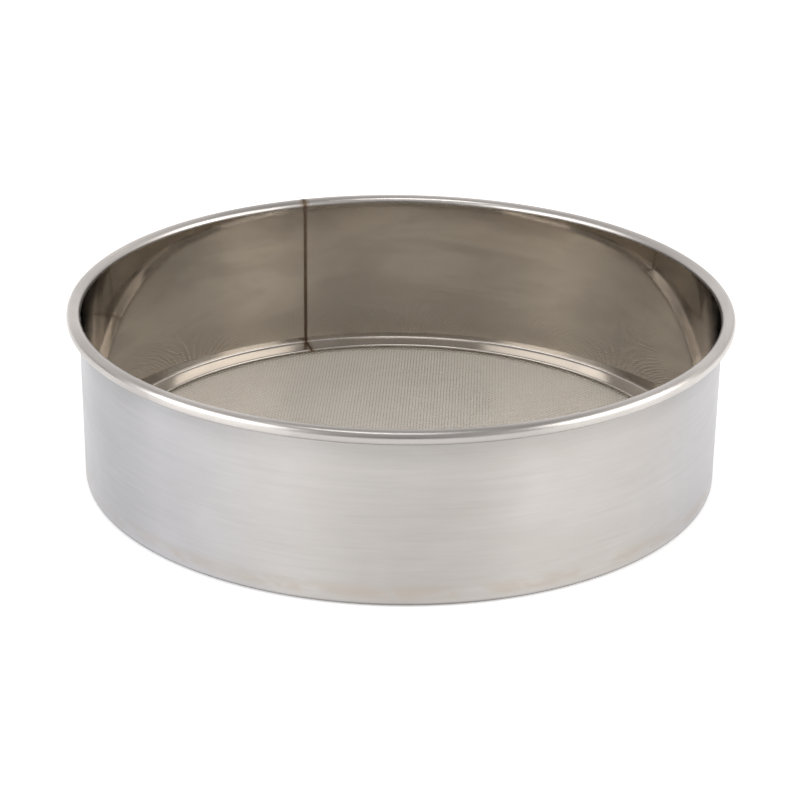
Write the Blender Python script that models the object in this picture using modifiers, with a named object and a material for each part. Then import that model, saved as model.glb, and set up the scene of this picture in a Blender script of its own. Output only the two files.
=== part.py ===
"""Round soil sieve, in metres, +Z up, standing on the XY plane with its axis on Z.

One strip of stainless sheet is rolled into a drum. Its top edge is curled outwards
round a core wire, its bottom edge is turned inwards as a narrow flange, and its two
ends meet in one upright butt weld. Woven wire cloth lies on the flange, and a clamp
ring with a welded joint of its own holds the cloth down.
"""
import math

import bpy
from mathutils import Vector

# Drum
DRUM_RADIUS = 0.150          # outside of the wall
DRUM_HEIGHT = 0.083          # underside of the flange to the top of the rim
SHEET = 0.0008               # thickness of the drum's sheet
CURL_RADIUS = 0.0033         # outside radius of the rolled rim
CURL_TURN = math.radians(290)    # how far the rim is rolled from the wall's inner face
FLANGE_WIDTH = 0.0100        # wall's outside to the free edge of the bottom flange
BEND_RADIUS = 0.0008         # inside radius of the bend between wall and flange

# Floor
CLOTH_THICKNESS = 0.0007     # two crossing wires of the weave
RING_WIDTH = 0.0100          # clamp ring, across its flat underside
RING_EDGE_HEIGHT = 0.0024    # clamp ring's height beside the wall
RING_EDGE_WIDTH = 0.0002     # narrow top of that edge
RING_COVE_RADIUS = 0.0009    # hollow from that edge down to the ring's slope
RING_LIP_HEIGHT = 0.0011     # clamp ring's height at the top of its rounded lip
RING_LIP_RADIUS = 0.0008     # rounding of the ring's inner edge

# Welds
SEAM_ANGLE = math.radians(110)   # where the drum's and the ring's ends meet, from +X
DRUM_WELD_WIDTH = 0.0016
RING_WELD_WIDTH = 0.0013

# Clearances
TOUCH_GAP = 0.0003           # left between pieces that touch

# Faceting
ROUND_STEPS = 96             # facets round the sieve's axis
CURL_STEPS = 14              # facets along the rolled rim
BEND_STEPS = 4               # facets along the flange's bend
FILLET_STEPS = 3             # facets along the clamp ring's small roundings
WIRE_SIDES = 10              # facets round the core wire
CUTTER_MARGIN = 0.004        # how far a cutter reaches past what it cuts

INNER_RADIUS = DRUM_RADIUS - SHEET
FLANGE_INNER_RADIUS = DRUM_RADIUS - FLANGE_WIDTH
RING_OUTER_RADIUS = INNER_RADIUS - TOUCH_GAP
RING_INNER_RADIUS = RING_OUTER_RADIUS - RING_WIDTH
CLOTH_BOTTOM = SHEET + TOUCH_GAP
RING_BOTTOM = CLOTH_BOTTOM + CLOTH_THICKNESS + TOUCH_GAP

STEEL = ("stainless_sheet", (0.60, 0.59, 0.57), 0.28)
WIRE_STEEL = ("stainless_wire", (0.55, 0.54, 0.51), 0.35)
WELD_STEEL = ("heat_tinted_weld", (0.13, 0.09, 0.06), 0.50)


def clear_scene():
    for obj in list(bpy.data.objects):
        bpy.data.objects.remove(obj, do_unlink=True)


def new_collection(name):
    collection = bpy.data.collections.new(name)
    bpy.context.scene.collection.children.link(collection)
    return collection


def metal(name, colour, roughness):
    """A Principled metal, made once and shared by the pieces that use it."""
    found = bpy.data.materials.get(name)
    if found:
        return found
    made = bpy.data.materials.new(name)
    made.use_nodes = True
    shader = made.node_tree.nodes["Principled BSDF"]
    shader.inputs["Base Color"].default_value = (*colour, 1.0)
    shader.inputs["Metallic"].default_value = 1.0
    shader.inputs["Roughness"].default_value = roughness
    made.diffuse_color = (*colour, 1.0)
    return made


def add_part(name, mesh, finish, collection, parent):
    """Links one piece under the sieve's empty, with a material of its own."""
    material_name, colour, roughness = finish
    part = bpy.data.objects.new(name, mesh)
    collection.objects.link(part)
    part.parent = parent
    mesh.materials.append(metal(f"{name}_{material_name}", colour, roughness))
    return part


def arc(centre, radius, start, turn, steps):
    """Points (radius from the axis, height) along an arc, both ends included."""
    points = []
    for i in range(steps + 1):
        angle = start + turn * i / steps
        points.append((centre[0] + radius * math.cos(angle), centre[1] + radius * math.sin(angle)))
    return points


def profile_mesh(name, points, closed):
    """An outline of edges in the XZ plane, at +X, ready to be turned about Z."""
    vertices = [(radius, 0.0, height) for radius, height in points]
    edges = [(i, i + 1) for i in range(len(points) - 1)]
    if closed:
        edges.append((len(points) - 1, 0))
    mesh = bpy.data.meshes.new(name)
    mesh.from_pydata(vertices, edges, [])
    return mesh


def turn(part):
    """Turns a profile all the way round Z."""
    screw = part.modifiers.new("turn", "SCREW")
    screw.axis = "Z"
    screw.angle = math.tau
    screw.steps = ROUND_STEPS
    screw.render_steps = ROUND_STEPS
    screw.use_merge_vertices = True
    screw.merge_threshold = 0.00001
    screw.use_smooth_shade = True


def thicken(part, thickness):
    """Gives an open turned surface its sheet thickness, away from its normals."""
    solid = part.modifiers.new("sheet", "SOLIDIFY")
    solid.thickness = thickness
    solid.offset = -1.0
    solid.use_even_offset = True


def seam_box(name, width, collection):
    """A slab that stands across the wall, the rim and the floor rings at the seam."""
    nearest = min(FLANGE_INNER_RADIUS, RING_INNER_RADIUS) - CUTTER_MARGIN
    farthest = INNER_RADIUS + 2 * CURL_RADIUS + CUTTER_MARGIN
    middle = (nearest + farthest) / 2
    size = (farthest - nearest, width, DRUM_HEIGHT + 2 * CUTTER_MARGIN)
    bpy.ops.mesh.primitive_cube_add(size=1.0)
    box = bpy.context.active_object
    box.name = name
    for vertex in box.data.vertices:
        vertex.co *= Vector(size)
    box.location = (middle * math.cos(SEAM_ANGLE), middle * math.sin(SEAM_ANGLE), DRUM_HEIGHT / 2)
    box.rotation_euler.z = SEAM_ANGLE
    box.hide_render = True
    box.display_type = "WIRE"
    for holder in list(box.users_collection):
        holder.objects.unlink(box)
    collection.objects.link(box)
    return box


def cut(part, cutter, operation):
    boolean = part.modifiers.new(cutter.name, "BOOLEAN")
    boolean.operation = operation
    boolean.solver = "EXACT"
    boolean.object = cutter


def drum_profile():
    """The sheet's face that looks into the drum and out of the curl, from flange to curl."""
    bend_centre = (INNER_RADIUS - BEND_RADIUS, SHEET + BEND_RADIUS)
    bend = arc(bend_centre, BEND_RADIUS, -math.pi / 2, math.pi / 2, BEND_STEPS)
    curl_centre = (INNER_RADIUS + CURL_RADIUS, DRUM_HEIGHT - CURL_RADIUS)
    curl = arc(curl_centre, CURL_RADIUS, math.pi, -CURL_TURN, CURL_STEPS)
    return [(FLANGE_INNER_RADIUS, SHEET)] + bend + curl


def ring_profile():
    """The clamp ring's section: flat underside, coved outer edge, slope and rounded lip."""
    edge_top = RING_BOTTOM + RING_EDGE_HEIGHT
    cove_centre = (RING_OUTER_RADIUS - RING_EDGE_WIDTH - RING_COVE_RADIUS, edge_top)
    cove = arc(cove_centre, RING_COVE_RADIUS, -math.pi / 2, math.pi / 2, FILLET_STEPS)
    lip_centre = (RING_INNER_RADIUS + RING_LIP_RADIUS, RING_BOTTOM + RING_LIP_HEIGHT - RING_LIP_RADIUS)
    lip = arc(lip_centre, RING_LIP_RADIUS, math.pi, -math.pi / 2, FILLET_STEPS)
    underside = [(RING_OUTER_RADIUS, RING_BOTTOM), (RING_INNER_RADIUS, RING_BOTTOM)]
    return [(RING_OUTER_RADIUS, edge_top)] + underside + lip + cove


def make_drum(parts, cutters, parent):
    wall = add_part("drum_wall", profile_mesh("drum_wall", drum_profile(), False), STEEL, parts, parent)
    weld = add_part("drum_seam_weld", profile_mesh("drum_seam_weld", drum_profile(), False), WELD_STEEL,
                    parts, parent)
    for part in (wall, weld):
        turn(part)
        thicken(part, SHEET)
    cut(wall, seam_box("drum_seam_slot", DRUM_WELD_WIDTH + 2 * TOUCH_GAP, cutters), "DIFFERENCE")
    cut(weld, seam_box("drum_weld_slice", DRUM_WELD_WIDTH, cutters), "INTERSECT")


def make_rim_wire(parts, parent):
    """The core wire that the rim is rolled round."""
    bpy.ops.mesh.primitive_torus_add(
        major_segments=ROUND_STEPS, minor_segments=WIRE_SIDES,
        major_radius=INNER_RADIUS + CURL_RADIUS,
        minor_radius=CURL_RADIUS - SHEET - TOUCH_GAP)
    torus = bpy.context.active_object
    mesh = torus.data
    bpy.data.objects.remove(torus)
    mesh.shade_smooth()
    wire = add_part("rim_core_wire", mesh, WIRE_STEEL, parts, parent)
    wire.location.z = DRUM_HEIGHT - CURL_RADIUS


def make_cloth(parts, parent):
    """The woven cloth as the thin disc that its wires fill, flat on the flange."""
    bpy.ops.mesh.primitive_cylinder_add(
        vertices=ROUND_STEPS, radius=INNER_RADIUS - BEND_RADIUS, depth=CLOTH_THICKNESS)
    disc = bpy.context.active_object
    mesh = disc.data
    bpy.data.objects.remove(disc)
    cloth = add_part("wire_cloth", mesh, WIRE_STEEL, parts, parent)
    cloth.location.z = CLOTH_BOTTOM + CLOTH_THICKNESS / 2


def make_clamp_ring(parts, cutters, parent):
    ring = add_part("clamp_ring", profile_mesh("clamp_ring", ring_profile(), True), STEEL, parts, parent)
    weld = add_part("clamp_ring_weld", profile_mesh("clamp_ring_weld", ring_profile(), True), WELD_STEEL,
                    parts, parent)
    for part in (ring, weld):
        turn(part)
    cut(ring, seam_box("ring_seam_slot", RING_WELD_WIDTH + 2 * TOUCH_GAP, cutters), "DIFFERENCE")
    cut(weld, seam_box("ring_weld_slice", RING_WELD_WIDTH, cutters), "INTERSECT")


def main():
    clear_scene()
    parts = new_collection("soil_sieve")
    cutters = new_collection("soil_sieve_cutters")
    origin = bpy.data.objects.new("sieve_axis", None)
    parts.objects.link(origin)
    make_drum(parts, cutters, origin)
    make_rim_wire(parts, origin)
    make_cloth(parts, origin)
    make_clamp_ring(parts, cutters, origin)


main()
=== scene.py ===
# %% [markdown]
# # A stainless soil sieve
#
# A round hand sieve: a drum of polished sheet steel with a rolled rim, a fine woven wire floor and a ring
# that clamps the cloth down. The frame is the sieve's construction model, loaded as it is and never moved.
# The steps below remake its round pieces smoothly, weave the cloth wire by wire, and give every piece its
# finish: mirror-like inside, finely scratched outside, brown where it was welded.

# %% Load the frame
import math

import bpy
from mathutils import Matrix, Vector


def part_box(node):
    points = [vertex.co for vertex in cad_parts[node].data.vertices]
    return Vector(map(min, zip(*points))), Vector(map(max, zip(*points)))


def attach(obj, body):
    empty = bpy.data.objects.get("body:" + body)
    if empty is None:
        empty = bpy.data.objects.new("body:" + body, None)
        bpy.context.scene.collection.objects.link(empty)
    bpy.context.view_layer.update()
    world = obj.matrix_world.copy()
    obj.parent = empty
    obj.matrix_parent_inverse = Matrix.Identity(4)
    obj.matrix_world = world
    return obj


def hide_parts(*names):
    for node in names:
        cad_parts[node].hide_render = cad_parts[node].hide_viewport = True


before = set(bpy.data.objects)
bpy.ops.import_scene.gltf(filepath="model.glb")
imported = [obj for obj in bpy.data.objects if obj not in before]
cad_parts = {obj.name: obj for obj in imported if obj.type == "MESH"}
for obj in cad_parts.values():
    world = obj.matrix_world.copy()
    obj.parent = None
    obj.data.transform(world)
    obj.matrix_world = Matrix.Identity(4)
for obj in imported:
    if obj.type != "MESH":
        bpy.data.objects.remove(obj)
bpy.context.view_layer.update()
print("nodes:", sorted(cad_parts))

# %% [markdown]
# ## Sizes
#
# The main sizes are read from the frame's own boxes, so the new pieces sit exactly where the construction
# model has them. Touching pieces there keep a small gap, and that gap is added back where it matters.

# %% Measure the frame
GAP = 0.0003
rim_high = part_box("drum_wall")[1]
cloth_low, cloth_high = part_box("wire_cloth")
ring_low, ring_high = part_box("clamp_ring")
HEIGHT = rim_high[2]
RIM_RADIUS = rim_high[0]
INNER = ring_high[0] + GAP
SHEET = cloth_low[2] - GAP
CURL = (RIM_RADIUS - INNER) / 2
CURL_HEIGHT = HEIGHT - CURL
CLOTH_MIDDLE = (cloth_low[2] + cloth_high[2]) / 2
SEAM = math.radians(110)
print(f"rim radius {RIM_RADIUS * 1000:.1f} mm, height {HEIGHT * 1000:.1f} mm, sheet {SHEET * 1000:.2f} mm")

# %% [markdown]
# ## Working by hand, in code
#
# An operator acts on whatever is selected, so each step first clears the selection and then selects by
# place. These helpers open a mesh for editing, select the vertices or faces that pass a test, and close it
# again.

# %% Editing helpers
def deselect():
    for obj in bpy.context.selected_objects:
        obj.select_set(False)


def activate(obj):
    deselect()
    obj.select_set(True)
    bpy.context.view_layer.objects.active = obj


def edit(obj, mode="VERT"):
    activate(obj)
    bpy.ops.object.mode_set(mode="EDIT")
    bpy.ops.mesh.select_mode(type=mode)
    bpy.ops.mesh.select_all(action="DESELECT")


def close():
    bpy.ops.object.mode_set(mode="OBJECT")


def pick(obj, test, kind="vertices"):
    """In object mode, selects the vertices or faces whose place passes the test."""
    for item in obj.data.vertices:
        item.select = kind == "vertices" and test(item.co)
    for item in obj.data.edges:
        item.select = False
    for item in obj.data.polygons:
        item.select = kind == "faces" and test(item)


def apply_place(obj):
    """Puts the object's place into its mesh, as the frame's own nodes have it."""
    activate(obj)
    bpy.ops.object.transform_apply(location=True, rotation=True, scale=True)


def apply_modifiers(obj):
    activate(obj)
    for modifier in list(obj.modifiers):
        bpy.ops.object.modifier_apply(modifier=modifier.name)


def triangles(obj):
    return sum(len(face.vertices) - 2 for face in obj.data.polygons)


print("editing helpers ready")


# %% [markdown]
# ## Turning a profile
#
# A drum is a lathe shape. Its outline is drawn by extruding one vertex from point to point in the XZ plane,
# and the Spin operator carries that outline round the Z axis. A spin of a full turn leaves its last copy on
# top of its first, so the doubles are merged.

# %% Turning helpers
TURN_STEPS = 288
MERGE_DISTANCE = 0.000001


def outline(name, points, closed):
    """Draws an outline of (radius, height) points from a plane cut down to one corner."""
    bpy.ops.mesh.primitive_plane_add(size=SHEET)
    obj = bpy.context.active_object
    obj.name = name
    pick(obj, lambda co: co.x > 0 or co.y > 0)
    bpy.ops.object.mode_set(mode="EDIT")
    bpy.ops.mesh.select_mode(type="VERT")
    bpy.ops.mesh.delete(type="VERT")
    close()
    start = obj.data.vertices[0]
    start.co = (points[0][0], 0.0, points[0][1])
    edit(obj)
    bpy.ops.mesh.select_all(action="SELECT")
    for before, after in zip(points, points[1:]):
        step = (after[0] - before[0], 0.0, after[1] - before[1])
        bpy.ops.mesh.extrude_region_move(TRANSFORM_OT_translate={"value": step})
    if closed:
        close()
        ends = (0, len(obj.data.vertices) - 1)
        for index, vertex in enumerate(obj.data.vertices):
            vertex.select = index in ends
        for edge in obj.data.edges:
            edge.select = False
        bpy.ops.object.mode_set(mode="EDIT")
        bpy.ops.mesh.edge_face_add()
    close()
    return obj


def spin(obj, turn=math.tau, steps=TURN_STEPS):
    edit(obj)
    bpy.ops.mesh.select_all(action="SELECT")
    bpy.ops.mesh.spin(steps=steps, angle=turn, center=(0, 0, 0), axis=(0, 0, 1))
    bpy.ops.mesh.select_all(action="SELECT")
    bpy.ops.mesh.remove_doubles(threshold=MERGE_DISTANCE)
    close()


def face_outwards(obj):
    edit(obj, "FACE")
    bpy.ops.mesh.select_all(action="SELECT")
    bpy.ops.mesh.normals_make_consistent(inside=False)
    close()


def arc(centre, radius, start, turn, steps):
    """Points (radius, height) along an arc, both ends included."""
    angles = [start + turn * i / steps for i in range(steps + 1)]
    return [(centre[0] + radius * math.cos(a), centre[1] + radius * math.sin(a)) for a in angles]


print("a full turn has", TURN_STEPS, "steps")


# %% [markdown]
# ## Camera, floor and light
#
# A long lens looks down at about 23 degrees from a metre away. The floor is one plain pale sheet, a hair
# under the sieve so that the two never share a surface. Polished steel shows its surroundings, so the light
# is a bright overhead panel and two side panels, and later steps add a room and a glow on the floor.

# %% Camera
CAMERA_DISTANCE = 1.0978
CAMERA_RISE = math.radians(22.787)
CAMERA_PITCH = math.radians(23.31)
CAMERA_ROLL = 0.012
LENS = 103.82

camera = bpy.data.objects.new("camera", bpy.data.cameras.new("camera"))
bpy.context.scene.collection.objects.link(camera)
camera.data.lens = LENS
camera.data.clip_end = 50.0
right = Vector((1, 0, 0))
ahead = Vector((0, math.cos(CAMERA_PITCH), -math.sin(CAMERA_PITCH)))
above = right.cross(ahead)
turned_right = right * math.cos(CAMERA_ROLL) + above * math.sin(CAMERA_ROLL)
turned_above = above * math.cos(CAMERA_ROLL) - right * math.sin(CAMERA_ROLL)
place = Vector((0, -math.cos(CAMERA_RISE), math.sin(CAMERA_RISE))) * CAMERA_DISTANCE
place.z += HEIGHT / 2
turned = Matrix((turned_right, turned_above, -ahead)).transposed().to_4x4()
camera.matrix_world = Matrix.Translation(place) @ turned
bpy.context.scene.camera = camera
bpy.context.scene.view_settings.view_transform = "Standard"
print("camera at", [round(v, 3) for v in place])


# %% Floor and light panels
def panel(name, place, target, size, radiance, colour=(1, 1, 1)):
    """A rectangular soft light with a set brightness, turned towards a point."""
    light = bpy.data.lights.new(name, "AREA")
    light.shape = "RECTANGLE"
    light.size, light.size_y = size
    light.energy = radiance * math.pi * size[0] * size[1]
    light.color = colour
    obj = bpy.data.objects.new(name, light)
    bpy.context.scene.collection.objects.link(obj)
    obj.location = place
    obj.rotation_euler = (Vector(target) - Vector(place)).to_track_quat("-Z", "Y").to_euler()
    return obj


FLOOR_GLOW = 0.42
FLOOR_DROP = 0.0004
FLOOR_RADIUS = 9.0

deselect()
bpy.ops.mesh.primitive_circle_add(vertices=64, radius=FLOOR_RADIUS, fill_type="NGON")
floor = bpy.context.active_object
floor.name = "studio_floor"
floor.location.z = -FLOOR_DROP
apply_place(floor)
floor.data.materials.append(bpy.data.materials.new("floor_white"))
floor.data.materials[0].use_nodes = True
paint = floor.data.materials[0].node_tree.nodes["Principled BSDF"]
paint.inputs["Base Color"].default_value = (0.90, 0.90, 0.90, 1)
paint.inputs["Roughness"].default_value = 0.9
paint.inputs["Specular IOR Level"].default_value = 0.0
paint.inputs["Emission Color"].default_value = (1, 1, 1, 1)

middle = (0, 0, HEIGHT / 2)
panel("overhead_strip", (-0.12, -0.50, 1.45), middle, (0.8, 0.35), 3.2)
panel("left_panel", (-1.55, -0.72, 0.80), middle, (1.7, 1.1), 2.3, (0.97, 0.98, 1.0))
panel("right_panel", (1.65, -0.42, 0.80), middle, (1.7, 1.1), 2.3, (1.0, 0.985, 0.965))
print("lights:", [light.name for light in bpy.data.lights])

# %% [markdown]
# ## Shader groups
#
# Several finishes share the same effects. Fine drawn scratches run round the sieve, a cloudy haze varies
# the polish, and a brown tint lies beside a seam. Each is a group that puts out a mask or a height, so
# every material can use it at its own strength.

# %% Shader group helpers
def group(name, inputs, outputs):
    tree = bpy.data.node_groups.new(name, "ShaderNodeTree")
    for socket, value in inputs:
        tree.interface.new_socket(socket, in_out="INPUT", socket_type="NodeSocketFloat").default_value = value
    for socket in outputs:
        tree.interface.new_socket(socket, in_out="OUTPUT", socket_type="NodeSocketFloat")
    return tree, tree.nodes.new("NodeGroupInput"), tree.nodes.new("NodeGroupOutput")


def math_node(tree, operation, first, second=None, clamp=False):
    """A Math node fed by sockets or by plain numbers; gives its output socket."""
    node = tree.nodes.new("ShaderNodeMath")
    node.operation = operation
    node.use_clamp = clamp
    for socket, value in zip(node.inputs, (first, second)):
        if value is None:
            continue
        if isinstance(value, (int, float)):
            socket.default_value = value
        else:
            tree.links.new(value, socket)
    return node.outputs["Value"]


def times(tree, first, second):
    return math_node(tree, "MULTIPLY", first, second)


def plus(tree, first, second):
    return math_node(tree, "ADD", first, second)


def minus(tree, first, second):
    return math_node(tree, "SUBTRACT", first, second)


def radius_of(tree, x, y):
    """How far a place is from the Z axis."""
    square = plus(tree, times(tree, x, x), times(tree, y, y))
    return math_node(tree, "SQRT", square)


def object_axes(tree):
    place = tree.nodes.new("ShaderNodeTexCoord")
    axes = tree.nodes.new("ShaderNodeSeparateXYZ")
    tree.links.new(place.outputs["Object"], axes.inputs["Vector"])
    return axes.outputs["X"], axes.outputs["Y"], axes.outputs["Z"]


def smooth_step(tree, value, low, high):
    node = tree.nodes.new("ShaderNodeMapRange")
    node.interpolation_type = "SMOOTHSTEP"
    for socket, item in zip(("Value", "From Min", "From Max"), (value, low, high)):
        if isinstance(item, (int, float)):
            node.inputs[socket].default_value = item
        else:
            tree.links.new(item, node.inputs[socket])
    return node.outputs["Result"]


def blend_value(tree, mask, low, high):
    """low where the mask is 0, high where it is 1."""
    return plus(tree, times(tree, mask, high - low), low)


def noise(tree, vector, scale, detail, roughness=0.5, distortion=0.0):
    node = tree.nodes.new("ShaderNodeTexNoise")
    node.inputs["Detail"].default_value = detail
    node.inputs["Roughness"].default_value = roughness
    node.inputs["Distortion"].default_value = distortion
    if vector is not None:
        tree.links.new(vector, node.inputs["Vector"])
    if isinstance(scale, (int, float)):
        node.inputs["Scale"].default_value = scale
    else:
        tree.links.new(scale, node.inputs["Scale"])
    return node.outputs["Fac"]


def vector_of(tree, x, y, z):
    node = tree.nodes.new("ShaderNodeCombineXYZ")
    for socket, value in zip(node.inputs, (x, y, z)):
        if isinstance(value, (int, float)):
            socket.default_value = value
        else:
            tree.links.new(value, socket)
    return node.outputs["Vector"]


print("shader helpers ready")

# %% [markdown]
# ## Room
#
# The world round the sieve is what the steel mirrors. It is brighter behind the sieve and dimmer overhead,
# with two bright sides that put highlights on the rim and ring, and darker stretches in front and behind.
# The camera sees plain white in its place.

# %% Room
# Each is an azimuth in degrees, where it is full and where it has faded, and the change in brightness.
ROOM_SIDES = [
    (270, 0.99, 0.86, -0.48),
    (208, 0.96, 0.84, 0.45),
    (344, 0.96, 0.84, 0.55),
    (158, 0.98, 0.88, -0.25),
    (42, 0.98, 0.88, -0.25),
]


def toward(tree, x, y, azimuth, near, far):
    """1 in the direction of an azimuth in degrees, fading to 0 away from it."""
    angle = math.radians(azimuth)
    side = times(tree, x, math.cos(angle))
    ahead = times(tree, y, math.sin(angle))
    return smooth_step(tree, plus(tree, side, ahead), far, near)


def make_room():
    world = bpy.data.worlds.new("studio_room")
    bpy.context.scene.world = world
    world.use_nodes = True
    tree = world.node_tree
    place = tree.nodes.new("ShaderNodeTexCoord")
    axes = tree.nodes.new("ShaderNodeSeparateXYZ")
    tree.links.new(place.outputs["Generated"], axes.inputs["Vector"])
    x, y, z = (axes.outputs[name] for name in "XYZ")
    level = blend_value(tree, smooth_step(tree, y, -0.2, 0.8), 0.62, 0.95)
    overhead = smooth_step(tree, z, 0.35, 1.0)
    level = minus(tree, level, times(tree, overhead, 0.22))
    for azimuth, near, far, change in ROOM_SIDES:
        amount = times(tree, toward(tree, x, y, azimuth, near, far), change)
        level = plus(tree, level, amount)
    seen = tree.nodes.new("ShaderNodeLightPath").outputs["Is Camera Ray"]
    unseen = times(tree, minus(tree, 1.0, seen), level)
    background = tree.nodes["Background"]
    tree.links.new(plus(tree, unseen, seen), background.inputs["Strength"])
    background.inputs["Color"].default_value = (1.0, 0.978, 0.970, 1)
    return world


print("room:", make_room().name)

# %% [markdown]
# ## Floor glow
#
# The outer wall mostly mirrors the floor, so the floor's own faint glow sets how bright that wall looks.
# Seen from beneath, the floor is clear, so the underside of the sieve can be looked at.

# %% Floor glow
def light_the_floor(tree, shader):
    """A faint glow keeps shadows soft; it stops under the sieve, so the cloth is seen against shade."""
    x, y, z = object_axes(tree)
    outside = smooth_step(tree, radius_of(tree, x, y), INNER - 0.008, INNER)
    glow = blend_value(tree, outside, FLOOR_GLOW * 0.15, FLOOR_GLOW)
    tree.links.new(glow, shader.inputs["Emission Strength"])


def clear_from_beneath(tree, shader):
    side = tree.nodes.new("ShaderNodeNewGeometry")
    tree.links.new(minus(tree, 1.0, side.outputs["Backfacing"]), shader.inputs["Alpha"])


light_the_floor(floor.data.materials[0].node_tree, paint)
clear_from_beneath(floor.data.materials[0].node_tree, paint)
print("floor glow:", FLOOR_GLOW)

# %% [markdown]
# ## Shared effects
#
# The scratches follow the turn, the haze is a soft noise stretched round the drum, and the tint fades away
# on both sides of the seam's line.

# %% Drawn scratches, cloudy haze and seam tint
def make_scratches():
    """Lines round the Z axis: long with the turn, fine across it, on walls and on flat rings alike."""
    tree, given, out = group("drawn_scratches", [("Along", 12.0), ("Across", 2500.0)], ["Height", "Marks"])
    x, y, z = object_axes(tree)
    across = plus(tree, radius_of(tree, x, y), z)
    along_x = times(tree, x, given.outputs["Along"])
    along_y = times(tree, y, given.outputs["Along"])
    stretched = vector_of(tree, along_x, along_y, times(tree, across, given.outputs["Across"]))
    fine = noise(tree, stretched, 1.0, 3.0, 0.6)
    tree.links.new(fine, out.inputs["Height"])
    broad_across = times(tree, across, times(tree, given.outputs["Across"], 0.25))
    broad = vector_of(tree, along_x, along_y, broad_across)
    marks = smooth_step(tree, noise(tree, broad, 1.0, 4.0, 0.65, 0.3), 0.55, 0.75)
    tree.links.new(marks, out.inputs["Marks"])
    return tree


def make_haze():
    """Large soft patches, stretched a little round the drum."""
    tree, given, out = group("cloudy_haze", [("Size", 22.0), ("Edge", 0.12), ("Stretch", 1.8)], ["Mask"])
    x, y, z = object_axes(tree)
    vector = vector_of(tree, x, y, times(tree, z, given.outputs["Stretch"]))
    patches = noise(tree, vector, given.outputs["Size"], 3.0, 0.55, 0.6)
    low = minus(tree, 0.5, given.outputs["Edge"])
    high = plus(tree, 0.5, given.outputs["Edge"])
    tree.links.new(smooth_step(tree, patches, low, high), out.inputs["Mask"])
    return tree


def make_seam_tint():
    """1 at the seam's line and 0 at the stated width to each side of it, with a wandering edge."""
    tree, given, out = group("seam_tint", [("Width", 0.004)], ["Mask"])
    x, y, z = object_axes(tree)
    outwards = plus(tree, times(tree, x, math.cos(SEAM)), times(tree, y, math.sin(SEAM)))
    aside = minus(tree, times(tree, y, math.cos(SEAM)), times(tree, x, math.sin(SEAM)))
    wander = noise(tree, vector_of(tree, 0.0, 0.0, z), 160.0, 3.0)
    reach = times(tree, given.outputs["Width"], plus(tree, wander, 0.5))
    share = math_node(tree, "DIVIDE", math_node(tree, "ABSOLUTE", aside), reach)
    near = math_node(tree, "SUBTRACT", 1.0, share, clamp=True)
    facing = math_node(tree, "GREATER_THAN", outwards, 0.0)
    tree.links.new(times(tree, near, facing), out.inputs["Mask"])
    return tree


scratches_group = make_scratches()
haze_group = make_haze()
tint_group = make_seam_tint()
print("groups:", [tree.name for tree in bpy.data.node_groups])

# %% [markdown]
# ## Finishes
#
# Each finish is a metal Principled shader. Its colour is the steel's own, varied by masks, some of which
# paint in light and shade, and its roughness sets how clear the reflections are: low inside the drum, where
# the cloth and the ring show as in a mirror, and higher outside, where the sheet is scuffed.

# %% Steel helpers
def use(tree, shared, **values):
    node = tree.nodes.new("ShaderNodeGroup")
    node.node_tree = shared
    for name, value in values.items():
        node.inputs[name].default_value = value
    return node


def mix_colour(tree, mask, first, second):
    node = tree.nodes.new("ShaderNodeMix")
    node.data_type = "RGBA"
    if isinstance(mask, (int, float)):
        node.inputs[0].default_value = mask
    else:
        tree.links.new(mask, node.inputs[0])
    for socket, value in zip((node.inputs[6], node.inputs[7]), (first, second)):
        if isinstance(value, tuple):
            socket.default_value = (*value, 1.0)
        else:
            tree.links.new(value, socket)
    return node.outputs[2]


def steel(name):
    material = bpy.data.materials.new(name)
    material.use_nodes = True
    shader = material.node_tree.nodes["Principled BSDF"]
    shader.inputs["Metallic"].default_value = 1.0
    return material, material.node_tree, shader


def bump(tree, height, strength, distance, before=None):
    node = tree.nodes.new("ShaderNodeBump")
    node.inputs["Strength"].default_value = strength
    node.inputs["Distance"].default_value = distance
    tree.links.new(height, node.inputs["Height"])
    if before is not None:
        tree.links.new(before, node.inputs["Normal"])
    return node.outputs["Normal"]


def dim(tree, colour, level):
    """The colour scaled by a level near 1."""
    node = tree.nodes.new("ShaderNodeVectorMath")
    node.operation = "SCALE"
    tree.links.new(colour, node.inputs[0])
    tree.links.new(level, node.inputs["Scale"])
    return node.outputs["Vector"]


print("steel helpers ready")
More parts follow.
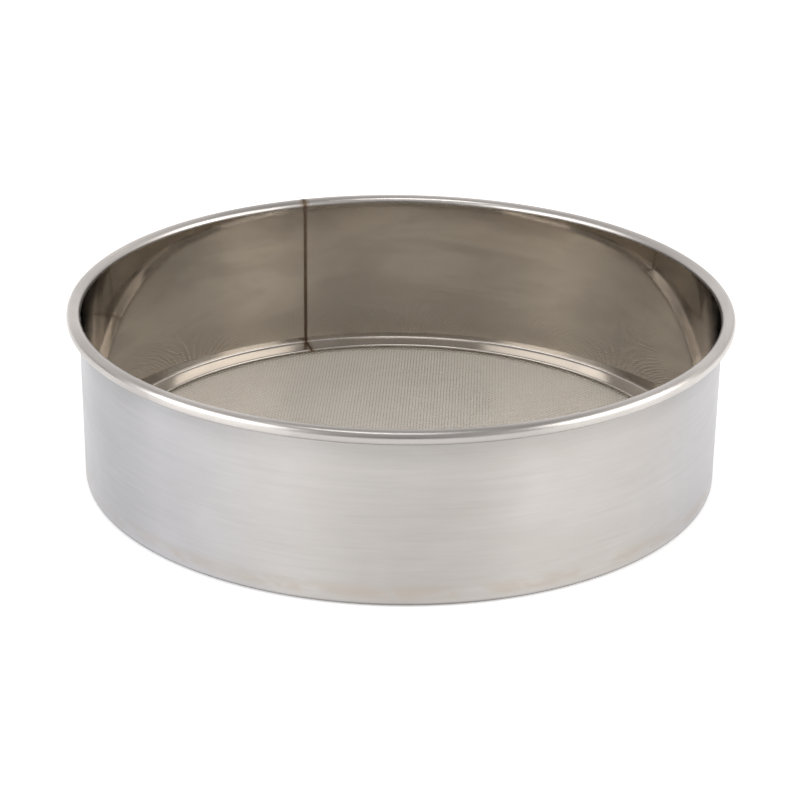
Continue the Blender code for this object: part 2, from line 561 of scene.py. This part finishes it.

# %% [markdown]
# The inside is almost a mirror. Its colour varies in level clouds, has painted shade low down and a painted
# sheen where it is seen at a glancing angle.

# %% Mirror inside
def make_inside():
    material, tree, shader = steel("inside_mirror")
    haze = use(tree, haze_group, Size=13.0, Edge=0.12, Stretch=4.0).outputs["Mask"]
    fine_haze = use(tree, haze_group, Size=70.0, Edge=0.25).outputs["Mask"]
    scratches = use(tree, scratches_group, Along=18.0, Across=2600.0)
    tint = use(tree, tint_group, Width=0.0018).outputs["Mask"]
    x, y, z = object_axes(tree)
    colour = mix_colour(tree, haze, (0.525, 0.488, 0.440), (0.445, 0.413, 0.373))
    # Painted shade: the mirror's colour is darkened in a band low down on the wall, by height alone.
    painted_low_shade = times(tree, smooth_step(tree, z, 0.045, 0.012), smooth_step(tree, z, 0.004, 0.014))
    colour = mix_colour(tree, times(tree, painted_low_shade, 0.55), colour, (0.420, 0.385, 0.345))
    # Painted sheen: the colour turns pale where the wall is seen at a glancing angle.
    edge_on = tree.nodes.new("ShaderNodeLayerWeight")
    edge_on.inputs["Blend"].default_value = 0.5
    painted_grazing_sheen = smooth_step(tree, edge_on.outputs["Facing"], 0.62, 0.92)
    colour = mix_colour(tree, times(tree, painted_grazing_sheen, 0.8), colour, (0.780, 0.745, 0.700))
    colour = mix_colour(tree, times(tree, tint, 0.7), colour, (0.260, 0.195, 0.140))
    tree.links.new(colour, shader.inputs["Base Color"])
    tree.links.new(blend_value(tree, fine_haze, 0.045, 0.095), shader.inputs["Roughness"])
    waves = noise(tree, vector_of(tree, x, y, z), 26.0, 1.0)
    wavy = bump(tree, waves, 0.25, 0.0006)
    tree.links.new(bump(tree, scratches.outputs["Height"], 0.06, 0.00002, wavy), shader.inputs["Normal"])
    return material


# %% [markdown]
# The outside is scuffed. Broad soft bands of brighter and darker metal are painted round it, and round the
# rim. They stand in for soft reflections and uneven polish together, so they stay put when the light
# changes: an empty list gives even steel.

# %% Scuffed outside
# Each is an azimuth in degrees, half the width in degrees, and the change in brightness.
PAINTED_BANDS = [
    (212, 22, -0.13),
    (240, 14, 0.10),
    (272, 26, -0.17),
    (298, 8, 0.07),
    (308, 8, -0.05),
    (322, 8, 0.05),
    (331, 8, -0.08),
    (352, 14, 0.08),
    (30, 24, -0.10),
    (75, 30, 0.08),
    (118, 24, -0.12),
    (150, 18, 0.06),
]


def painted_level(tree, x, y):
    """A brightness near 1 that changes round the drum."""
    level = 1.0
    for azimuth, half_width, change in PAINTED_BANDS:
        edge = RIM_RADIUS * math.cos(math.radians(half_width))
        band = toward(tree, x, y, azimuth, RIM_RADIUS * 0.975, edge)
        level = plus(tree, times(tree, band, change), level)
    return level


def make_outside():
    material, tree, shader = steel("outside_scuffed")
    haze = use(tree, haze_group, Size=16.0, Edge=0.2).outputs["Mask"]
    scratches = use(tree, scratches_group, Along=14.0, Across=2200.0)
    tint = use(tree, tint_group, Width=0.006).outputs["Mask"]
    x, y, z = object_axes(tree)
    # Painted light: the colour is warmer across a middle stretch of the drum and cooler to both sides,
    # standing in for the tint of reflected light.
    painted_warm_light = times(tree, smooth_step(tree, x, -0.11, -0.02), smooth_step(tree, x, 0.145, 0.09))
    clear = mix_colour(tree, painted_warm_light, (0.510, 0.507, 0.521), (0.535, 0.515, 0.494))
    cloudy = mix_colour(tree, painted_warm_light, (0.488, 0.484, 0.496), (0.512, 0.488, 0.461))
    colour = mix_colour(tree, haze, clear, cloudy)
    marks = times(tree, scratches.outputs["Marks"], 0.35)
    colour = mix_colour(tree, marks, colour, (0.430, 0.416, 0.399))
    # Painted shade: the wall is darkened just under the rolled rim.
    painted_shade_under_rim = smooth_step(tree, z, 0.062, 0.076)
    level = minus(tree, painted_level(tree, x, y), times(tree, painted_shade_under_rim, 0.14))
    drawn_out = vector_of(tree, times(tree, x, 24.0), times(tree, y, 24.0), times(tree, z, 480.0))
    grain = noise(tree, drawn_out, 1.0, 6.0, 0.75)
    level = plus(tree, level, times(tree, minus(tree, grain, 0.5), 0.22))
    # Painted light: the wall is made slightly brighter low down, near its foot.
    painted_light_at_foot = times(tree, smooth_step(tree, z, 0.0100, 0.0050), 0.03)
    level = plus(tree, level, painted_light_at_foot)
    # Painted shadow: a dark contact shadow along the bottom edge, which darkens the flange's underside as
    # well.
    painted_contact_shadow = smooth_step(tree, z, 0.0019, 0.0006)
    level = minus(tree, level, times(tree, painted_contact_shadow, 0.5))
    colour = dim(tree, colour, level)
    ring_band = times(tree, smooth_step(tree, z, 0.012, 0.0055), smooth_step(tree, z, 0.002, 0.0050))
    spots = use(tree, haze_group, Size=42.0, Edge=0.1).outputs["Mask"]
    heated = times(tree, times(tree, ring_band, spots), 0.35)
    colour = mix_colour(tree, heated, colour, (0.420, 0.340, 0.260))
    colour = mix_colour(tree, times(tree, tint, 0.6), colour, (0.330, 0.240, 0.160))
    tree.links.new(colour, shader.inputs["Base Color"])
    tree.links.new(blend_value(tree, haze, 0.30, 0.36), shader.inputs["Roughness"])
    shader.inputs["Anisotropic"].default_value = 0.85
    tangent = tree.nodes.new("ShaderNodeTangent")
    tangent.direction_type = "RADIAL"
    tangent.axis = "Z"
    tree.links.new(tangent.outputs["Tangent"], shader.inputs["Tangent"])
    waves = noise(tree, vector_of(tree, x, y, z), 18.0, 1.0)
    wavy = bump(tree, waves, 0.25, 0.0006)
    tree.links.new(bump(tree, scratches.outputs["Height"], 0.12, 0.00003, wavy), shader.inputs["Normal"])
    return material


# %% [markdown]
# The rim and the ring are polished. Their scratches are in the colour and roughness only, because scratches
# in relief shimmer on such narrow pieces.

# %% Polished rim and ring
def make_polish(name, colour, roughness, with_painted_bands):
    material, tree, shader = steel(name)
    haze = use(tree, haze_group, Size=24.0, Edge=0.2).outputs["Mask"]
    scratches = use(tree, scratches_group, Along=9.0, Across=1400.0)
    tint = use(tree, tint_group, Width=0.003).outputs["Mask"]
    base = mix_colour(tree, haze, colour, tuple(value * 0.93 for value in colour))
    marks = times(tree, scratches.outputs["Marks"], 0.25)
    base = mix_colour(tree, marks, base, tuple(value * 0.8 for value in colour))
    base = mix_colour(tree, tint, base, (0.34, 0.24, 0.15))
    # The rim can take the outside's painted bands, which stand in for soft reflections and uneven polish
    # together.
    if with_painted_bands:
        x, y, z = object_axes(tree)
        base = dim(tree, base, painted_level(tree, x, y))
    tree.links.new(base, shader.inputs["Base Color"])
    worn = times(tree, scratches.outputs["Height"], 0.06)
    rough = plus(tree, blend_value(tree, haze, roughness, roughness * 1.3), worn)
    tree.links.new(rough, shader.inputs["Roughness"])
    return material


# %% [markdown]
# The weld is dark and rough, and ripples run along its bead.

# %% Weld
def make_weld():
    """Brown oxide over a rippled bead."""
    material, tree, shader = steel("weld_oxide")
    x, y, z = object_axes(tree)
    along = plus(tree, z, radius_of(tree, x, y))
    ripples = math_node(tree, "SINE", times(tree, along, 5200.0))
    patches = noise(tree, vector_of(tree, x, y, z), 320.0, 4.0, 0.6)
    colour = mix_colour(tree, patches, (0.130, 0.096, 0.070), (0.230, 0.180, 0.138))
    darker_down = smooth_step(tree, z, 0.060, 0.004)
    colour = mix_colour(tree, times(tree, darker_down, 0.6), colour, (0.090, 0.062, 0.045))
    tree.links.new(colour, shader.inputs["Base Color"])
    tree.links.new(blend_value(tree, patches, 0.32, 0.50), shader.inputs["Roughness"])
    grain = bump(tree, patches, 0.3, 0.0001)
    tree.links.new(bump(tree, ripples, 0.25, 0.00004, grain), shader.inputs["Normal"])
    return material


# %% [markdown]
# The wire is paler and softer than the sheet. With it, every finish is made.

# %% Wire
def make_wire():
    """Drawn wire: a soft metal, a little darker in patches."""
    material, tree, shader = steel("woven_wire")
    haze = use(tree, haze_group, Size=28.0, Edge=0.25).outputs["Mask"]
    x, y, z = object_axes(tree)
    grain = noise(tree, vector_of(tree, x, y, z), 900.0, 2.0)
    colour = mix_colour(tree, haze, (0.760, 0.690, 0.585), (0.705, 0.640, 0.545))
    colour = mix_colour(tree, times(tree, grain, 0.3), colour, (0.615, 0.555, 0.465))
    tree.links.new(colour, shader.inputs["Base Color"])
    tree.links.new(blend_value(tree, grain, 0.28, 0.42), shader.inputs["Roughness"])
    return material


inside_mirror = make_inside()
outside_scuffed = make_outside()
rim_polish = make_polish("rim_polish", (0.595, 0.566, 0.539), 0.23, True)
ring_polish = make_polish("ring_polish", (0.600, 0.562, 0.518), 0.17, False)
weld_oxide = make_weld()
woven_wire = make_wire()
print("finishes:", [material.name for material in bpy.data.materials])

# %% [markdown]
# ## Drum
#
# One strip of sheet is taken to make the wall, the rolled rim and the narrow flange hidden under the cloth.
# A single outline follows the face that looks into the drum: along the flange, round the bend, up the wall
# and round the roll. Spun, it is a surface with no thickness, and Solidify gives it the sheet's.

# %% Drum wall
BEND = 0.0008
CURL_TURN = math.radians(290)
FLANGE_WIDTH = 0.0100
FLANGE_INNER = INNER + SHEET - FLANGE_WIDTH


def drum_outline():
    bend = arc((INNER - BEND, SHEET + BEND), BEND, -math.pi / 2, math.pi / 2, 6)
    curl = arc((INNER + CURL, CURL_HEIGHT), CURL, math.pi, -CURL_TURN, 36)
    wall_parts = 6
    wall_foot = SHEET + BEND
    wall_part = (CURL_HEIGHT - SHEET - BEND) / wall_parts
    wall = [(INNER, wall_foot + wall_part * i) for i in range(1, wall_parts)]
    return [(FLANGE_INNER, SHEET)] + bend + wall + curl


drum = outline("drum_sheet", drum_outline(), closed=False)
spin(drum)
face_outwards(drum)
wall_face = min(drum.data.polygons, key=lambda face: abs(face.center.z - HEIGHT / 2))
if wall_face.normal.xy.dot(wall_face.center.xy) > 0:
    edit(drum, "FACE")
    bpy.ops.mesh.select_all(action="SELECT")
    bpy.ops.mesh.flip_normals()
    close()
sheet_wall = drum.modifiers.new("sheet", "SOLIDIFY")
sheet_wall.thickness = SHEET
sheet_wall.offset = -1.0
sheet_wall.use_even_offset = True
apply_modifiers(drum)
print("drum wall:", triangles(drum), "triangles")

# %% [markdown]
# The sheet has three finishes: the mirror inside, the scuffed outside and the polished roll. Each face is
# given its finish by where it lies and which way it looks.

# %% Finish the drum
def give_finishes(obj, finishes, choose):
    """Adds the materials as slots and sets each face's by the number that choose(face) gives."""
    obj.data.materials.clear()
    for material in finishes:
        obj.data.materials.append(material)
    for face in obj.data.polygons:
        face.material_index = choose(face)


def smooth(obj, degrees=35):
    activate(obj)
    bpy.ops.object.shade_smooth_by_angle(angle=math.radians(degrees))


ROLL_BOTTOM = CURL_HEIGHT - CURL


def drum_finish(face):
    inward = face.normal.xy.dot(face.center.xy) < 0
    if face.center.z > CURL_HEIGHT or (face.center.z > ROLL_BOTTOM and not inward):
        return 2
    return 0 if inward and face.center.z > SHEET + BEND else 1


def put(obj, node):
    """Makes the piece ride on the frame's one body in the place of the node that it stands for."""
    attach(obj, "root")
    if node:
        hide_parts(node)


give_finishes(drum, [inside_mirror, outside_scuffed, rim_polish], drum_finish)
smooth(drum)
put(drum, "drum_wall")
print("drum finishes:", [material.name for material in drum.data.materials])

# %% [markdown]
# ## Seam weld
#
# The strip's two ends are butt welded in one upright line through rim, wall and flange. The bead follows
# the sheet's own outline, a hair proud of it on both sides, so the same outline is spun through a small
# angle.

# %% Drum seam weld
WELD_WIDTH = 0.0016
CROWN = 0.00006


def fill_open_ends(obj):
    """Puts one face over every hole that is left in a piece."""
    edit(obj, "EDGE")
    bpy.ops.mesh.select_all(action="SELECT")
    bpy.ops.mesh.fill_holes(sides=0)
    close()


def seam_piece(name, points, width, closed, sheet_thickness=None):
    """Spins an outline through the seam's width and turns it to the seam."""
    obj = outline(name, points, closed)
    turn = width / INNER
    spin(obj, turn=turn, steps=4)
    if sheet_thickness:
        wall = obj.modifiers.new("sheet", "SOLIDIFY")
        wall.thickness = sheet_thickness
        wall.offset = 0.0
        wall.use_even_offset = True
        apply_modifiers(obj)
    else:
        fill_open_ends(obj)
    face_outwards(obj)
    obj.rotation_euler.z = SEAM + turn / 2
    apply_place(obj)
    return obj


def middle_of_sheet():
    """The same outline along the middle of the sheet."""
    bend = arc((INNER - BEND, SHEET + BEND), BEND + SHEET / 2, -math.pi / 2, math.pi / 2, 6)
    curl = arc((INNER + CURL, CURL_HEIGHT), CURL - SHEET / 2, math.pi, -CURL_TURN, 30)
    return [(FLANGE_INNER, SHEET / 2)] + bend + curl


seam_weld = seam_piece("drum_seam_bead", middle_of_sheet(), WELD_WIDTH, False, SHEET + 2 * CROWN)
give_finishes(seam_weld, [weld_oxide], lambda face: 0)
smooth(seam_weld)
put(seam_weld, "drum_seam_weld")
print("seam weld:", triangles(seam_weld), "triangles")

# %% [markdown]
# ## Core wire
#
# The rim is rolled over a wire. Only its frame node stands for it, because the roll hides it, and the node
# gets the cloth wire's finish.

# %% Core wire
wire_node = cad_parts["rim_core_wire"]
wire_node.data.materials.clear()
wire_node.data.materials.append(woven_wire)
print("core wire:", [material.name for material in wire_node.data.materials])

# %% [markdown]
# ## Clamp ring
#
# The ring that holds the cloth down has a flat underside, a small cove beside the wall, a gentle slope
# inwards and a rounded lip on the cloth. It is one closed outline, spun.

# %% Clamp ring
RING_BOTTOM = ring_low[2]
RING_TOP = ring_high[2]
RING_OUTER = ring_high[0]
RING_WIDTH = 0.0100
COVE = 0.0009
EDGE_WIDTH = 0.0002
LIP = 0.0008
LIP_HEIGHT = 0.0011
RING_WELD_WIDTH = 0.0013
RING_INNER = RING_OUTER - RING_WIDTH


def ring_outline(grow=0.0):
    cove = arc((RING_OUTER - EDGE_WIDTH - COVE, RING_TOP), COVE - grow, -math.pi / 2, math.pi / 2, 8)
    lip = arc((RING_INNER + LIP, RING_BOTTOM + LIP_HEIGHT - LIP), LIP + grow, math.pi, -math.pi / 2, 8)
    run = (cove[0][0] - lip[-1][0]) / 4
    rise = (cove[0][1] - lip[-1][1]) / 4
    slope = [(lip[-1][0] + run * i, lip[-1][1] + rise * i) for i in range(1, 4)]
    wall_side = RING_OUTER + GAP * 0.9
    underside = [(wall_side, RING_TOP), (wall_side, RING_BOTTOM), (RING_INNER - grow, RING_BOTTOM)]
    return underside + lip + slope + cove


ring = outline("clamp_ring_polished", ring_outline(), closed=True)
spin(ring)
face_outwards(ring)
give_finishes(ring, [ring_polish], lambda face: 0)
smooth(ring)
put(ring, "clamp_ring")
ring_weld = seam_piece("clamp_ring_bead", ring_outline(CROWN), RING_WELD_WIDTH, True)
give_finishes(ring_weld, [weld_oxide], lambda face: 0)
smooth(ring_weld)
put(ring_weld, "clamp_ring_weld")
print("ring:", triangles(ring), "triangles")

# %% [markdown]
# ## Wire cloth
#
# Plain weave: every wire goes over one crossing wire and under the next. One link of a wire is modelled, a
# short tube that climbs from under to over. A mirror of it comes back down, an array repeats the pair along
# the wire, and a second array lays wires side by side. The wires between them are the same ones the other
# way up, and the crossing set is the whole lot turned a quarter.

# %% One wave of wire
WIRE = 0.00035
PITCH = 0.00155
CRIMP = WIRE / 2
HIDDEN_EDGE = 0.0035
CLOTH_RADIUS = RING_OUTER - HIDDEN_EDGE
WEAVE_TURN = math.radians(-2.2)
WIRE_SIDES = 6
waves = math.ceil(CLOTH_RADIUS / PITCH / 2) * 2


def wire_wave(name, up):
    """A tube one pitch long from -CRIMP to +CRIMP, then its mirror, centred on the crossing."""
    deselect()
    bpy.ops.mesh.primitive_cylinder_add(
        vertices=WIRE_SIDES,
        radius=WIRE / 2,
        depth=PITCH,
        end_fill_type="NOTHING",
        location=(0, PITCH / 2, 0),
        rotation=(math.pi / 2, 0, 0),
    )
    obj = bpy.context.active_object
    obj.name = name
    apply_place(obj)
    for far, height in ((True, CRIMP * up), (False, -CRIMP * up)):
        pick(obj, lambda co: (co.y > PITCH / 2) == far)
        bpy.ops.object.mode_set(mode="EDIT")
        bpy.ops.transform.translate(value=(0, 0, height))
        close()
    mirror = obj.modifiers.new("back down", "MIRROR")
    mirror.use_axis = (False, True, False)
    mirror.merge_threshold = MERGE_DISTANCE
    return obj


def repeat(obj, step, count, merge):
    array = obj.modifiers.new("repeat", "ARRAY")
    array.use_relative_offset = False
    array.use_constant_offset = True
    array.constant_offset_displace = step
    array.count = count
    array.use_merge_vertices = merge
    array.merge_threshold = MERGE_DISTANCE


def wire_set(name, up, shift):
    """Every other wire of one direction, over the whole cloth's square."""
    obj = wire_wave(name, up)
    repeat(obj, (0, 2 * PITCH, 0), waves, True)
    repeat(obj, (2 * PITCH, 0, 0), waves, False)
    apply_modifiers(obj)
    obj.location = (-PITCH * waves + PITCH / 2 + shift, -PITCH * waves + PITCH * 1.5, 0)
    apply_place(obj)
    return obj


print("wires each way:", 2 * waves)

# %% [markdown]
# The square of wires is cut to a disc that ends under the ring. A wire is kept or cut by its own middle
# line, so each end is square and can be closed.

# %% Weave and trim
def wire_line(x, shift):
    """The middle line of the wire that a place across the wires belongs to."""
    first = PITCH / 2 + shift - PITCH * waves
    return first + round((x - first) / (2 * PITCH)) * 2 * PITCH


def trim_to_disc(obj, radius, shift):
    """Cuts the wires off square at the disc's edge, a whole ring of a wire at a time, and closes them."""
    pick(obj, lambda co: math.hypot(wire_line(co.x, shift), co.y) > radius)
    bpy.ops.object.mode_set(mode="EDIT")
    bpy.ops.mesh.select_mode(type="VERT")
    bpy.ops.mesh.delete(type="VERT")
    bpy.ops.mesh.select_all(action="SELECT")
    bpy.ops.mesh.delete_loose()
    close()
    fill_open_ends(obj)


def direction_set(name, up, quarter):
    pieces = []
    for part, (side, shift) in enumerate(((up, 0.0), (-up, PITCH))):
        obj = wire_set(f"{name}_{part + 1}", side, shift)
        activate(obj)
        trim_to_disc(obj, CLOTH_RADIUS, shift)
        obj.rotation_euler.z = WEAVE_TURN + (math.pi / 2 if quarter else 0.0)
        obj.location.z = CLOTH_MIDDLE
        apply_place(obj)
        face_outwards(obj)
        activate(obj)
        bpy.ops.object.shade_smooth()
        obj.data.materials.clear()
        obj.data.materials.append(woven_wire)
        pieces.append(obj)
    return pieces


warp = direction_set("warp_wires", 1, False)
weft = direction_set("weft_wires", -1, True)
for number, obj in enumerate(warp + weft):
    put(obj, "wire_cloth" if number == 0 else None)
    print(obj.name, triangles(obj), "triangles")
